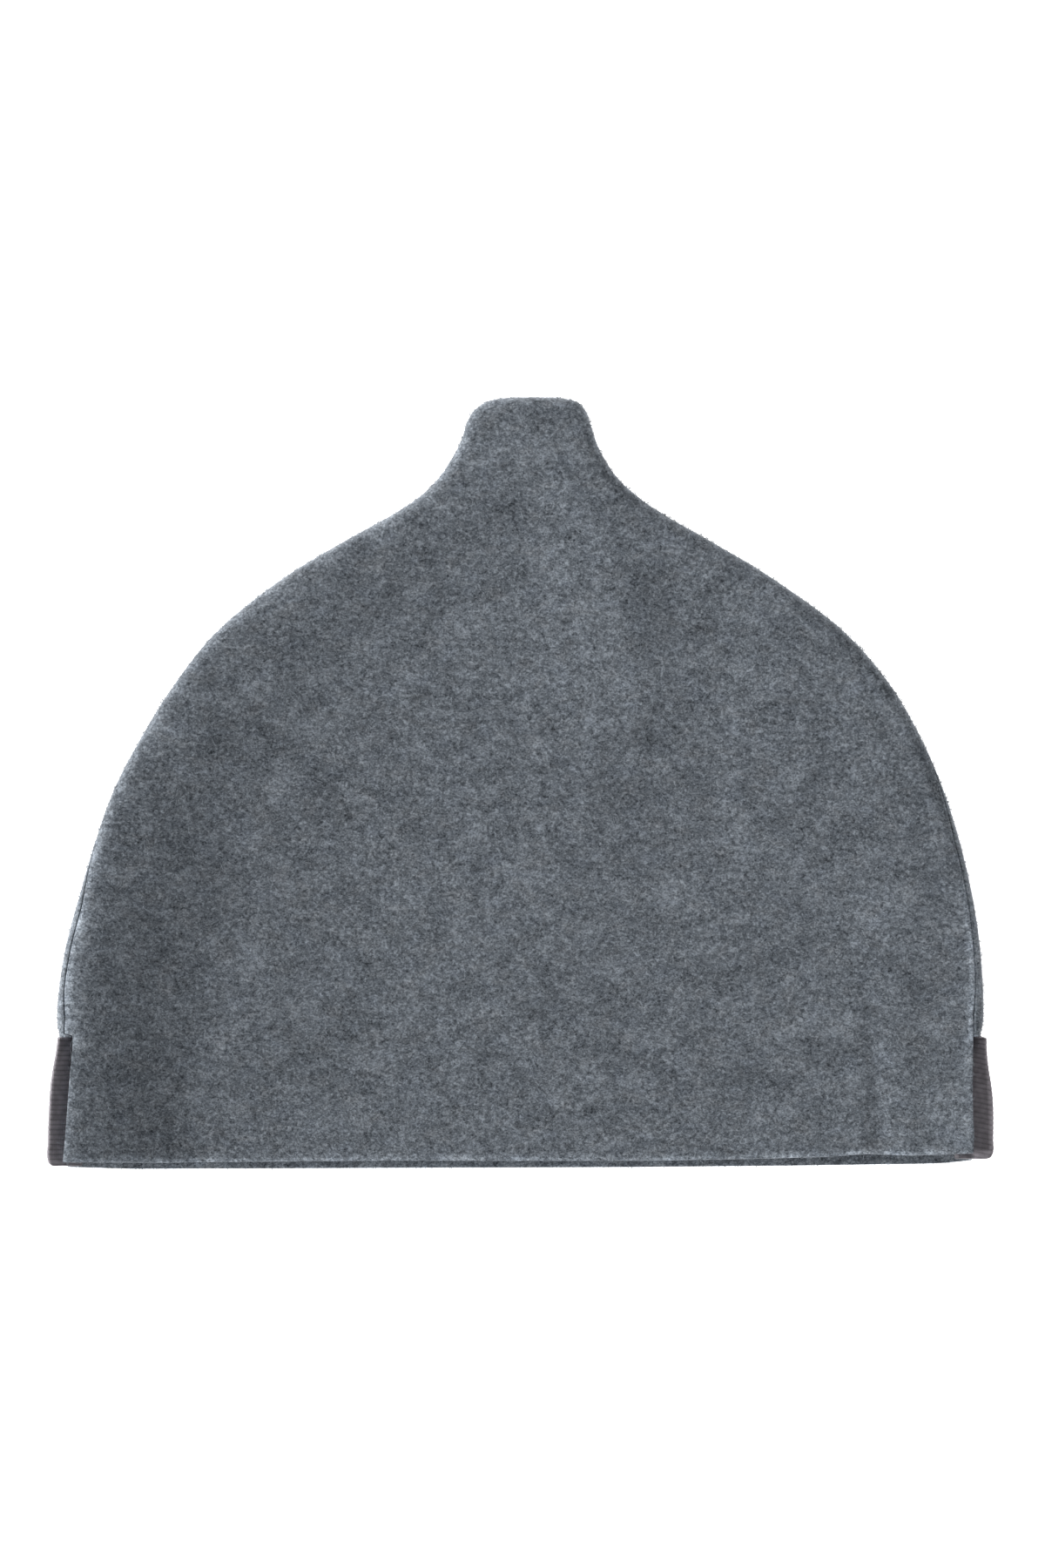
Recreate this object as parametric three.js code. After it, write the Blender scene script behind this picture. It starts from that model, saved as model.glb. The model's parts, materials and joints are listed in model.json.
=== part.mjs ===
// A felt sauna hat lying flat: two felt panels joined by a turned seam round the dome and the stub at its tip, open at
// the hem, with a folded grosgrain ribbon let into the slit at each side of the hem.
// Sizes are in millimetres. X runs across the hat, Y from the hem to the tip and Z up, out of the front panel.
import * as THREE from 'three';
import { mergeVertices } from 'three/addons/utils/BufferGeometryUtils.js';

// Driving sizes
const HAT_LENGTH = 253.3; // hem to tip
const FELT = 3; // thickness of the felt
const SEAM_GAP = 0.3; // least gap between the two panels, at the seam's inner end; it opens outwards as a groove
const RIM_DEPTH = 5.6; // how far in from the outline the rounded rim reaches, seen from the front
const RIM_HALF = 6.5; // half the height of the rim, which is four layers of felt that stand a little apart
const TIP_REACH = 13; // from the tip's top edge to the end of the spine, where the stub's sections meet
const TIP_START = 214; // height above the hem where the sections begin to lean towards that end
const CHORD = 1; // rows of the outline that a normal is averaged over, so that tight corners stay smooth
const HEM_FADE = 18; // how far up the hem's own wave reaches

// The front panel's settled form
const LEFT_SETTLE = 45; // how far in from the left rim the felt takes to settle to its form
const RIGHT_SETTLE = 22; // the same from the right rim, where the felt stands fuller
const NECK_START = 196; // height above the hem where the form begins to die out towards the stub
const NECK_END = 238; // height above the hem where the stub is plain

// The outline seen from the front. Each row is one section: its height above the hem and its two ends.
const OUTLINE = [
  { y: 0, left: -151.9, right: 151.6 },
  { y: 15, left: -151.9, right: 151.6 },
  { y: 30, left: -151.9, right: 151.6 },
  { y: 43.9, left: -151.9, right: 151.7 },
  { y: 45.4, left: -151.9, right: 151.7 },
  { y: 56, left: -151.6, right: 151.8 },
  { y: 73.1, left: -149.0, right: 150.7 },
  { y: 90.3, left: -144.4, right: 148.1 },
  { y: 107.4, left: -139.4, right: 144.1 },
  { y: 124.6, left: -133.2, right: 138.7 },
  { y: 141.7, left: -124.3, right: 131.3 },
  { y: 158.9, left: -113.6, right: 121.3 },
  { y: 176, left: -99.9, right: 106.6 },
  { y: 193.1, left: -79.0, right: 83.9 },
  { y: 204.6, left: -60.4, right: 65.0 },
  { y: 216, left: -40.0, right: 45.2 },
  { y: 221.7, left: -31.9, right: 37.3 },
  { y: 227.4, left: -26.3, right: 31.4 },
  { y: 233.1, left: -22.6, right: 27.6 },
  { y: 238.8, left: -19.5, right: 24.8 },
  { y: 244.6, left: -17.6, right: 23.0 },
  { y: 248.6, left: -15.5, right: 21.6 },
  { y: 251.8, left: -11.2, right: 18.6 },
  { y: 253.1, left: -5.0, right: 12.6 },
];
const TOP_CENTRE = { x: 5.5, y: HAT_LENGTH };

// How far in from the outline the front panel's edge runs at each side: the slit's edge up to 43.9, and the seam above
const FRONT_EDGE = [
  { y: 0, left: 2.3, right: 3.2 },
  { y: 43.9, left: 5.2, right: 3.2 },
  { y: 45.4, left: 2.4, right: 3.1 },
  { y: 51, left: 2.7, right: 3.4 },
  { y: 60, left: 1.8, right: 2.6 },
  { y: 86, left: 1.8, right: 2.0 },
  { y: 98, left: 0.7, right: 1.8 },
  { y: 108, left: 0.2, right: 1.7 },
  { y: 125, left: 0, right: 0.8 },
  { y: 141, left: 0, right: 0 },
];
const SLIT_TOP = 43.9; // height of the slit at each side, above the hem
const SLIT_LIFT = { left: 0.4, right: 2.6 }; // how far the front panel's edge is lifted off the ribbon's, at the hem
const SLIT_BACK_EDGE = -1.13; // turn of the back panel's slit edge round the rim, in radians below its widest line

// How far above the lowest point of the hat each hem lies, across its width
const FRONT_HEM = [
  { x: -150, y: 2.7 },
  { x: -116, y: 2.4 },
  { x: -40, y: 3.1 },
  { x: 40, y: 3.1 },
  { x: 78, y: 3.8 },
  { x: 101, y: 4.5 },
  { x: 113, y: 5.4 },
  { x: 128, y: 4.9 },
  { x: 148, y: 5.7 },
];
const BACK_HEM = [
  { x: -150, y: 0.7 },
  { x: -128, y: 0 },
  { x: 37, y: 0.6 },
  { x: 90, y: 1.1 },
  { x: 138, y: 1.8 },
  { x: 150, y: 3.1 },
];

// How far the settled front panel stands over the top of the rim, at places that share the width of each section
// evenly. It sags between the thick rims, most of all at the left and along the hem.
const PLACES = { leftFlank: -0.8, left: -0.4, middle: 0, right: 0.4, rightFlank: 0.8 };
const FRONT_FORM = [
  { y: 0, leftFlank: -5.8, left: -5.6, middle: -4.1, right: -3.2, rightFlank: -2.0 },
  { y: 16, leftFlank: -6.1, left: -5.9, middle: -4.0, right: -3.0, rightFlank: -1.8 },
  { y: 38, leftFlank: -5.4, left: -5.1, middle: -3.1, right: -2.1, rightFlank: -1.0 },
  { y: 70, leftFlank: -4.8, left: -4.7, middle: -2.3, right: -1.4, rightFlank: -0.8 },
  { y: 105, leftFlank: -3.9, left: -4.2, middle: -2.3, right: -1.2, rightFlank: -0.6 },
  { y: 140, leftFlank: -2.7, left: -3.1, middle: -2.2, right: -0.6, rightFlank: 0.1 },
  { y: 172, leftFlank: -1.7, left: -2.4, middle: -1.6, right: -0.1, rightFlank: 0.9 },
  { y: 200, leftFlank: -0.5, left: -1.5, middle: -1.3, right: 0.1, rightFlank: 0.9 },
];

// Long soft ridges (positive) and hollows (negative) of the front panel: middle, half lengths along and across, lean
// from the Y axis and height
const FOLDS = [
  { name: 'ridge below the stub', x: 31, y: 172, along: 40, across: 13, lean: -3, height: 0.8 },
  { name: 'hollow right of the ridge', x: 60, y: 158, along: 44, across: 16, lean: -3, height: -1.1 },
  { name: 'ridge up the right flank', x: 127, y: 82, along: 34, across: 10, lean: 2, height: 0.7 },
  { name: 'crease of the fold at the hem', x: 116.5, y: 16, along: 26, across: 2.4, lean: 3, height: -0.5 },
  { name: 'ridge of the fold at the hem', x: 126.5, y: 18, along: 30, across: 4.5, lean: 4, height: 0.8 },
];

// The ribbon at each side: the place of its outer fold up the slit
const RIBBON = 0.8; // thickness of the grosgrain
const RIBBON_ARM = 6; // how far each half of the ribbon reaches inside the hat
const RIBBON_UPPER = 8.4; // height of the half under the front panel, at the middle of its thickness
const RIBBON_LOWER = 4.05; // height of the half on the back panel
const RIBBON_FOLD = 5.9; // height of the outer fold
const RIBBON_SWELL = 2.4; // how far each half swells outside the felt, towards the fold
const RIBBON_BLUNT = 8; // how bluntly the halves turn into the fold
const RIBBON_LOWER_ROOT = 2.9; // where the lower half leaves the back panel, in from the outline
const FOLD_STEPS = [0, 0.3, 0.55, 0.75, 0.89, 0.97];
const LEFT_FOLD = [
  { y: 1.4, x: -153.3 },
  { y: 2.0, x: -154.3 },
  { y: 3.2, x: -154.9 },
  { y: 9.4, x: -154.9 },
  { y: 18.9, x: -154.6 },
  { y: 27.4, x: -154.1 },
  { y: 34.3, x: -153.1 },
  { y: 38.5, x: -152.3 },
  { y: 43.3, x: -151.7 },
];
const RIGHT_FOLD = [
  { y: 3.8, x: 152.9 },
  { y: 4.3, x: 153.9 },
  { y: 5.4, x: 154.7 },
  { y: 10.3, x: 154.9 },
  { y: 21.7, x: 154.9 },
  { y: 27.4, x: 154.4 },
  { y: 33.1, x: 153.5 },
  { y: 38.9, x: 152.9 },
  { y: 43.3, x: 152.8 },
];

// Number of steps in each mesh
const STEPS_PER_ROW = 2;
const RIM_STEPS = 5;
const FRONT_STEPS = [0.05, 0.1, 0.14, 0.19, 0.25, 0.34, 0.45, 0.58, 0.72, 0.86, 1];
const BACK_STEPS = [0.2, 0.6, 1];

const FELT_BLUE_GREY = 0x626a73;
const RIBBON_TAUPE = 0x4f4b4e;

function smooth(t) {
  const c = Math.min(1, Math.max(0, t));
  return c * c * (3 - 2 * c);
}

// The value of one column of a table at a given place of another, straight between the rows
function lookUp(table, key, place, column) {
  const last = table.length - 1;
  if (place <= table[0][key]) return table[0][column];
  if (place >= table[last][key]) return table[last][column];
  const i = table.findIndex((row) => row[key] > place);
  const share = (place - table[i - 1][key]) / (table[i][key] - table[i - 1][key]);
  return table[i - 1][column] + share * (table[i][column] - table[i - 1][column]);
}

function outlineCurve(side) {
  const points = OUTLINE.map((row) => new THREE.Vector3(row[side], row.y, 0));
  points.push(new THREE.Vector3(TOP_CENTRE.x, TOP_CENTRE.y, 0));
  return new THREE.CatmullRomCurve3(points, false, 'centripetal');
}

const CURVES = { left: outlineCurve('left'), right: outlineCurve('right') };
const OTHER = { left: 'right', right: 'left' };

// A point of the outline; past the top it runs on down the other side
function outlinePoint(side, t) {
  return t <= 1 ? CURVES[side].getPoint(Math.max(0, t)) : CURVES[OTHER[side]].getPoint(2 - t);
}

function inwardNormal(side, t) {
  const step = CHORD / OUTLINE.length;
  const along = outlinePoint(side, t + step).sub(outlinePoint(side, t - step)).normalize();
  const turn = side === 'left' ? 1 : -1;
  return new THREE.Vector3(turn * along.y, -turn * along.x, 0);
}

// The point of the spine that the two sides' sections at t run to
function spinePoint(t) {
  const middle = outlinePoint('left', t).add(outlinePoint('right', t)).multiplyScalar(0.5);
  const lean = smooth((middle.y - TIP_START) / (HAT_LENGTH - TIP_START));
  return middle.setY(middle.y - TIP_REACH * lean);
}

function curveThrough(places, values) {
  return new THREE.CubicInterpolant(places, values, values.length / places.length);
}

const FORM_ROWS = FRONT_FORM.map((row) => row.y);
const FORM_VALUES = FRONT_FORM.flatMap((row) => Object.keys(PLACES).map((place) => row[place]));
const FORM_UP = curveThrough(FORM_ROWS, FORM_VALUES);

// Rise of the front panel's outer face over the top of the rim, where a point divides its section's width
function frontRise(x, y, fromLeft, fromRight) {
  const across = (fromLeft - fromRight) / (fromLeft + fromRight);
  const form = curveThrough(Object.values(PLACES), [...FORM_UP.evaluate(y)]).evaluate(across)[0];
  const folds = FOLDS.reduce((sum, fold) => {
    const lean = THREE.MathUtils.degToRad(fold.lean);
    const dx = x - fold.x;
    const dy = y - fold.y;
    const u = (dx * Math.cos(lean) + dy * Math.sin(lean)) / fold.across;
    const v = (dy * Math.cos(lean) - dx * Math.sin(lean)) / fold.along;
    return sum + fold.height * Math.exp(-(u * u + v * v) / 2);
  }, 0);
  const neck = 1 - smooth((y - NECK_START) / (NECK_END - NECK_START));
  return (form + folds) * neck * smooth(fromLeft / LEFT_SETTLE) * smooth(fromRight / RIGHT_SETTLE);
}

// Lift of the front panel's edge along the slit of one side
function slitLift(side, y) {
  return SLIT_LIFT[side] * smooth(1 - y / SLIT_TOP);
}

// Turn of a panel's edge round the rim, from its widest line, for an edge that lies so far in from the outline
function edgeTurn(inward) {
  return Math.acos(1 - inward / RIM_DEPTH);
}

function withHem(point, hem) {
  point.y += lookUp(hem, 'x', point.x, 'y') * Math.exp(-point.y / HEM_FADE);
  return point;
}

// One side's half of a section: the outer and inner points from the panel's edge round the rim and in to the spine
function halfSection(panel, side, t) {
  const base = outlinePoint(side, t);
  const normal = inwardNormal(side, t);
  const seam = edgeTurn(lookUp(FRONT_EDGE, 'y', base.y, side));
  const gap = SEAM_GAP / 2 / (RIM_DEPTH - FELT);
  const slit = base.y <= SLIT_TOP;
  const start = panel.up ? seam + gap : slit ? SLIT_BACK_EDGE : seam - gap;
  const end = panel.up ? Math.PI / 2 : -Math.PI / 2;
  const lift = panel.up ? slitLift(side, base.y) : 0;
  const otherLift = panel.up ? slitLift(OTHER[side], base.y) : 0;
  const outer = [];
  const inner = [];
  for (let i = 0; i <= RIM_STEPS; i++) {
    const turn = start + ((end - start) * i) / RIM_STEPS;
    for (const [points, thinner] of [[outer, 0], [inner, FELT]]) {
      const inward = RIM_DEPTH - (RIM_DEPTH - thinner) * Math.cos(turn);
      const point = base.clone().addScaledVector(normal, inward);
      point.z = RIM_HALF + (RIM_HALF - thinner) * Math.sin(turn) + lift;
      points.push(withHem(point, panel.hem));
    }
  }
  const ring = base.clone().addScaledVector(normal, RIM_DEPTH);
  const spine = spinePoint(t);
  const half = ring.distanceTo(spine);
  for (const share of panel.steps) {
    const point = ring.clone().lerp(spine, share);
    const near = half * share;
    const far = 2 * half - near;
    const rise = panel.up ? frontRise(point.x, point.y, ...(side === 'left' ? [near, far] : [far, near])) : 0;
    const top = 2 * RIM_HALF + rise + THREE.MathUtils.lerp(lift, otherLift, share / 2);
    withHem(point, panel.hem);
    outer.push(point.clone().setZ(panel.up ? top : 0));
    inner.push(point.clone().setZ(panel.up ? top - FELT : FELT));
  }
  return { outer, inner };
}

// A closed mesh from rows of points, each row a loop round the section; the ends are closed between the row's halves
function closedLoft(rows, flip, closeLast) {
  const count = rows[0].length;
  const positions = [];
  const triangle = (a, b, c) => {
    for (const p of flip ? [a, c, b] : [a, b, c]) positions.push(p.x, p.y, p.z);
  };
  const quad = (a, b, c, d) => {
    triangle(a, b, c);
    triangle(a, c, d);
  };
  for (let r = 0; r + 1 < rows.length; r++) {
    for (let i = 0; i < count; i++) {
      const j = (i + 1) % count;
      quad(rows[r][i], rows[r][j], rows[r + 1][j], rows[r + 1][i]);
    }
  }
  for (let i = 0; i < count / 2 - 1; i++) {
    const [a, b, c, d] = [i, i + 1, count - 2 - i, count - 1 - i];
    const first = rows[0];
    quad(first[d], first[c], first[b], first[a]);
    const last = rows[rows.length - 1];
    if (closeLast) quad(last[a], last[b], last[c], last[d]);
  }
  const geometry = new THREE.BufferGeometry();
  geometry.setAttribute('position', new THREE.Float32BufferAttribute(positions, 3));
  return withoutFlatTriangles(mergeVertices(geometry, 1e-3));
}

function withoutFlatTriangles(geometry) {
  const kept = [];
  const index = geometry.index.array;
  for (let i = 0; i < index.length; i += 3) {
    const [a, b, c] = index.slice(i, i + 3);
    if (a !== b && b !== c && c !== a) kept.push(a, b, c);
  }
  geometry.setIndex(kept);
  geometry.computeVertexNormals();
  return geometry;
}

function panelGeometry(panel) {
  const rows = [];
  const last = OUTLINE.length * STEPS_PER_ROW;
  for (let r = 0; r <= last; r++) {
    const t = r / last;
    const left = halfSection(panel, 'left', t);
    const right = halfSection(panel, 'right', t);
    const outer = [...left.outer, ...right.outer.reverse().slice(1)];
    const inner = [...left.inner, ...right.inner.reverse().slice(1)];
    rows.push([...outer, ...inner.reverse()]);
  }
  return closedLoft(rows, !panel.up, false);
}

// One section of the ribbon, as a loop: the middle line from the upper arm round the fold to the lower arm, thickened
function ribbonSection(side, row) {
  const sign = side === 'left' ? -1 : 1;
  const outline = outlineEdge(side, row.y);
  const root = lookUp(FRONT_EDGE, 'y', row.y, side);
  const reach = sign * outline - sign * row.x + RIBBON / 2;
  const lift = slitLift(side, row.y);
  const fold = { reach, z: RIBBON_FOLD + lift / 2 };
  const upper = FOLD_STEPS.map((share) => foldPoint(fold, root, RIBBON_UPPER + lift, share));
  const lower = FOLD_STEPS.map((share) => foldPoint(fold, RIBBON_LOWER_ROOT, RIBBON_LOWER, share));
  const line = [[root + RIBBON_ARM, RIBBON_UPPER + lift], ...upper, [reach, fold.z]];
  line.push(...lower.reverse(), [root + RIBBON_ARM, RIBBON_LOWER]);
  const points = line.map(([inward, z]) => new THREE.Vector2(outline - sign * inward, z));
  const normals = points.map((_, i) => {
    const ahead = points[Math.min(points.length - 1, i + 1)];
    const along = ahead.clone().sub(points[Math.max(0, i - 1)]).normalize();
    return new THREE.Vector2(-along.y, along.x);
  });
  const faces = [1, -1].map((way) =>
    points.map((p, i) => {
      const q = p.clone().addScaledVector(normals[i], (way * RIBBON) / 2);
      return new THREE.Vector3(q.x, row.y, q.y);
    }),
  );
  return [...faces[0], ...faces[1].reverse()];
}

// A point of the ribbon's middle line outside the felt, a share of the way from where it leaves the felt to the fold
function foldPoint(fold, root, height, share) {
  const away = Math.sign(height - fold.z);
  const half = Math.abs(height - fold.z) + RIBBON_SWELL * share;
  return [root + (fold.reach - root) * share, fold.z + away * half * Math.sqrt(1 - share ** RIBBON_BLUNT)];
}

function outlineEdge(side, y) {
  return lookUp(OUTLINE, 'y', y, side);
}

function ribbonGeometry(side, folds) {
  const rows = folds.map((row) => ribbonSection(side, row));
  return closedLoft(rows, false, true);
}

function feltMesh(name, geometry) {
  const material = new THREE.MeshStandardMaterial({ color: FELT_BLUE_GREY, roughness: 0.95, metalness: 0 });
  return named(name, geometry, material);
}

function ribbonMesh(name, geometry) {
  const material = new THREE.MeshStandardMaterial({ color: RIBBON_TAUPE, roughness: 0.7, metalness: 0 });
  return named(name, geometry, material);
}

function named(name, geometry, material) {
  const mesh = new THREE.Mesh(geometry, material);
  mesh.name = name;
  return mesh;
}

const hat = new THREE.Group();
hat.add(feltMesh('front_panel', panelGeometry({ up: true, hem: FRONT_HEM, steps: FRONT_STEPS })));
hat.add(feltMesh('back_panel', panelGeometry({ up: false, hem: BACK_HEM, steps: BACK_STEPS })));
hat.add(ribbonMesh('left_ribbon', ribbonGeometry('left', LEFT_FOLD)));
hat.add(ribbonMesh('right_ribbon', ribbonGeometry('right', RIGHT_FOLD)));
hat.position.y = -HAT_LENGTH / 2;

const saunaHat = new THREE.Group();
saunaHat.add(hat);

export default saunaHat;
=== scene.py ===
"""A felt sauna hat lying flat: two panels of blue-grey melange wool felt joined by a turned seam round the dome and
the stub at its tip, open at the raw hem, with a folded grosgrain ribbon let into the slit at each side.

Lengths are in metres unless a name says otherwise. X runs across the hat, Y from the hem to the tip and Z up."""

import json
import math

import bmesh
import bpy
import numpy as np
from bpy.props import FloatProperty, FloatVectorProperty, IntProperty, PointerProperty
from bpy.types import Operator, Panel, PropertyGroup
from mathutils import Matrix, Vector


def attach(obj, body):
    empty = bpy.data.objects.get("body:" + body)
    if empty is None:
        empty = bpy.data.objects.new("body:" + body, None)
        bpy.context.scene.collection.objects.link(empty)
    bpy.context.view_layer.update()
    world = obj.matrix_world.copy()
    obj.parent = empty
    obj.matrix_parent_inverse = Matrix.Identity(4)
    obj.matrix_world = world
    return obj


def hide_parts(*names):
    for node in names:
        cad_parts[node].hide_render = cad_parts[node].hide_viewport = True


bl_info = {
    "name": "Felt sauna hat",
    "version": (1, 0, 0),
    "blender": (4, 5, 0),
    "location": "View3D > Sidebar > Sauna Hat",
    "description": "Builds a flat-lying felt sauna hat with ribbon gussets",
    "category": "Object",
}

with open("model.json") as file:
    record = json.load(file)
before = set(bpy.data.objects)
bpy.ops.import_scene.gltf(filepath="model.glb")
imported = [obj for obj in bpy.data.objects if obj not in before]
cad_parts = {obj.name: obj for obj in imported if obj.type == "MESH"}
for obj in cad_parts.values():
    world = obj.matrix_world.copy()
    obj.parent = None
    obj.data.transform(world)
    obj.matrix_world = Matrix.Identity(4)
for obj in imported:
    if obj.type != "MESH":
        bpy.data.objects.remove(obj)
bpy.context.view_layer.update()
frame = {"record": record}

MM = 0.001
SIDES = ("left", "right")
OTHER = {"left": "right", "right": "left"}
SIGN = {"left": -1, "right": 1}

# The hat's cut, in millimetres above the hem and across from the middle: each section's left and right end
HAT_LENGTH = 253.3
OUTLINE = (
    (0, -151.9, 151.6), (15, -151.9, 151.6), (30, -151.9, 151.6),
    (43.9, -151.9, 151.7), (45.4, -151.9, 151.7), (56, -151.6, 151.8),
    (73.1, -149.0, 150.7), (90.3, -144.4, 148.1), (107.4, -139.4, 144.1),
    (124.6, -133.2, 138.7), (141.7, -124.3, 131.3), (158.9, -113.6, 121.3),
    (176, -99.9, 106.6), (193.1, -79.0, 83.9), (204.6, -60.4, 65.0),
    (216, -40.0, 45.2), (221.7, -31.9, 37.3), (227.4, -26.3, 31.4),
    (233.1, -22.6, 27.6), (238.8, -19.5, 24.8), (244.6, -17.6, 23.0),
    (248.6, -15.5, 21.6), (251.8, -11.2, 18.6), (253.1, -5.0, 12.6),
)
TOP_CENTRE = (5.5, HAT_LENGTH)
# How far in from the outline the front panel's edge runs at each side: along the slit, and along the seam above it
FRONT_EDGE = {
    "above_hem": (0, 8, 15, 24, 31, 38, 43.2, 44.0, 44.6, 51, 60, 86, 98, 108, 125, 141),
    "left": (1.9, 2.6, 3.1, 3.7, 4.3, 5.1, 5.5, 4.9, 2.5, 2.7, 1.8, 1.8, 0.7, 0.2, 0, 0),
    "right": (3.2, 2.9, 3.2, 3.3, 3.3, 3.2, 3.2, 3.2, 3.1, 3.4, 2.6, 2.0, 1.8, 1.7, 0.8, 0),
}
# Heights above the hem of the notch at a slit's top and of the seam's start
SLIT_TOP = 43.9
SEAM_START = 43.3
# How far the front panel stands up at the hem beside each slit
SLIT_LIFT = {"left": 0.4, "right": 2.6}
# Turn round the rim, in radians, at which the back panel's edge lies along a slit
SLIT_BACK_EDGE = -1.13
# The notch at a slit's top: how deep it is, half its length, and how far in it fades out
NOTCH_DEPTH = 0.8
NOTCH_LENGTH = 2.5
NOTCH_FADE = 3
# From which height on, and by how much, the line in which a panel's halves meet falls short of the tip
TIP_START = 214
TIP_SHORTFALL = 13
# Height over which the unevenness of the hems dies away
HEM_FADE = 18
# Rows that the mesh has besides its even ones: next to the hem and round the notches
FINE_ROWS = (0.7, 1.1, 42.6, 43.2, 43.4, 43.7, 44.0, 44.3, 44.6)
# Turns by which the rows or columns next to an edge round over towards the middle of the felt
ROUNDING = np.radians([90, 60, 35, 15])
RIM_COLUMNS = 16
# Half the hat's width, and how many columns a panel's face has for each step of the mesh in it
HALF_WIDTH = 152
FRONT_COLUMNS = 0.8
BACK_COLUMNS = 0.25
# Over what length in from the rim the face's waves set in, how far from the tip they end, and their fade there
WAVES_START = 12
WAVES_END = 8
WAVES_FADE = 20
# Seeds of the waves of the front panel's face and of the unevenness of the painted highlight along its hem
FACE_WAVES_SEED = 3
HEM_WAVES_SEED = 11
# How far above the lowest point of the hat each hem lies, across its width
FRONT_HEM = {
    "across": (-150, -116, -40, 40, 78, 101, 113, 128, 148),
    "above": (2.7, 2.4, 3.1, 3.1, 3.8, 4.5, 5.4, 4.9, 5.7),
}
BACK_HEM = {
    "across": (-150, -128, 37, 90, 138, 150),
    "above": (0.7, 0, 0.6, 1.1, 1.8, 3.1),
}
# How far in from each side the front panel has settled fully, and the heights between which it no longer has
LEFT_SETTLE = 45
RIGHT_SETTLE = 22
NECK_START = 196
NECK_END = 238
# How far the settled front panel stands over the rim: rows up the hat, columns from the left flank to the right
FORM_ROWS = (0, 16, 38, 70, 105, 140, 172, 200)
FORM_COLUMNS = (-0.8, -0.4, 0, 0.4, 0.8)
FRONT_FORM = (
    (-5.8, -5.6, -4.1, -3.2, -2.0),
    (-6.1, -5.9, -4.0, -3.0, -1.8),
    (-5.4, -5.1, -3.1, -2.1, -1.0),
    (-4.8, -4.7, -2.3, -1.4, -0.8),
    (-3.9, -4.2, -2.3, -1.2, -0.6),
    (-2.7, -3.1, -2.2, -0.6, 0.1),
    (-1.7, -2.4, -1.6, -0.1, 0.9),
    (-0.5, -1.5, -1.3, 0.1, 0.9),
)
# Soft ridges and hollows: middle across and up, half lengths along and across, lean in degrees, height
FOLDS = {
    "ridge below the stub": (31, 172, 40, 13, -3, 0.8),
    "hollow right of the ridge": (60, 158, 44, 16, -3, -1.1),
    "ridge up the right flank": (127, 82, 34, 10, 2, 0.7),
    "crease of the fold at the hem": (116.5, 16, 24, 1.7, 3, -0.6),
    "ridge of the fold at the hem": (126.5, 18, 30, 4.5, 4, 0.8),
}
# The outer fold of each ribbon, up its slit
RIBBON_FOLD = {
    "left": {
        "above_hem": (1.4, 2.0, 3.2, 9.4, 18.9, 27.4, 34.3, 38.5, 43.3),
        "across": (-153.3, -154.3, -154.9, -154.9, -154.6, -154.1, -153.1, -152.3, -151.7),
    },
    "right": {
        "above_hem": (3.8, 4.3, 5.4, 10.3, 21.7, 27.4, 33.1, 38.9, 43.3),
        "across": (152.9, 153.9, 154.7, 154.9, 154.9, 154.4, 153.5, 152.9, 152.8),
    },
}
# A ribbon's section: how far its arms reach in, heights of the two arms and of the fold, how far in the lower arm
# starts, by how much the fold stands out over the arms, and how blunt it is
ARM_REACH = 6
UPPER_ARM = 8.4
LOWER_ARM = 4.05
FOLD_HEIGHT = 5.9
LOWER_ARM_START = 2.9
FOLD_SWELL = 2.4
FOLD_BLUNTNESS = 80
ARM_COLUMNS = 5
# Columns from an arm's start to the fold, as shares of the way
FOLD_SHARES = np.append(np.linspace(0, 0.93, 7), [0.965, 0.98, 0.988, 0.993, 0.997, 0.9993])
ROWS_PER_RIB = 9
# How far each rib leans up the hat, and the power of its crown's curve, which is rounder under 1
RIB_LEAN = {"left": 0.0, "right": 0.2}
RIB_ROUNDNESS = 0.7
# How far over the seam's start a ribbon ends, and how far in its fold and its arms lie there
RIBBON_END = 1.4
TUCKED_FOLD = 3.9
TUCKED_ARM = 0.4
# Painted light and shade on each ribbon where it shows: painted light on the right one, which lies in the hat's
# shadow, and painted shade on the left one, which faces the key light; and painted shade on its arms in the slit
RIBBON_PAINTED_LIGHT = {"left": -0.1, "right": 0.12}
ARM_PAINTED_SHADE = -0.35
# Over what length up from its bottom end a ribbon takes on its painted light and shade
PAINTED_LIGHT_RISE = 6
# Painted light along the felt's edges, where 1 is twice as bright: painted highlights along the cut hem, the slits and
# the seam, and painted light on the back panel's bands that lie in shade. For each layer its strength, how far in from
# the edge it holds and over what length it fades, and where up the hat it sets in and over what length, or None
PAINTED_EDGE_LIGHT = {
    "front": {
        "hem": ((1.0, 1.5, 0.9, None),),
        "left": ((0.42, 1.6, 1.8, None), (0.42, 1.6, 8, (36, 12))),
        "right": ((0.34, 1.6, 2.4, None), (1.1, 1.7, 0.8, (40, 6))),
    },
    "back": {
        "hem": ((0.6, 6, 3, None), (0.6, 0.5, 1.8, None)),
        "left": ((0.3, 0.4, 1.5, None),),
        "right": ((2.4, 0.4, 2.2, None),),
    },
}
# Painted shade on the stub's rim, taken off the painted light there: its strength, how far in from the rim it holds,
# over what length it fades, and where up the hat it sets in and over what length
PAINTED_STUB_SHADE = (0.25, 1, 3, (195, 30))
# How uneven the painted highlight along the front hem is
HEM_LIGHT_UNEVENNESS = 0.3
# Height up to which the painted light along the edges at the sides holds, and over what length it fades above it
EDGE_LIGHT_HEIGHT = 70
EDGE_LIGHT_FADE = 50
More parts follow.
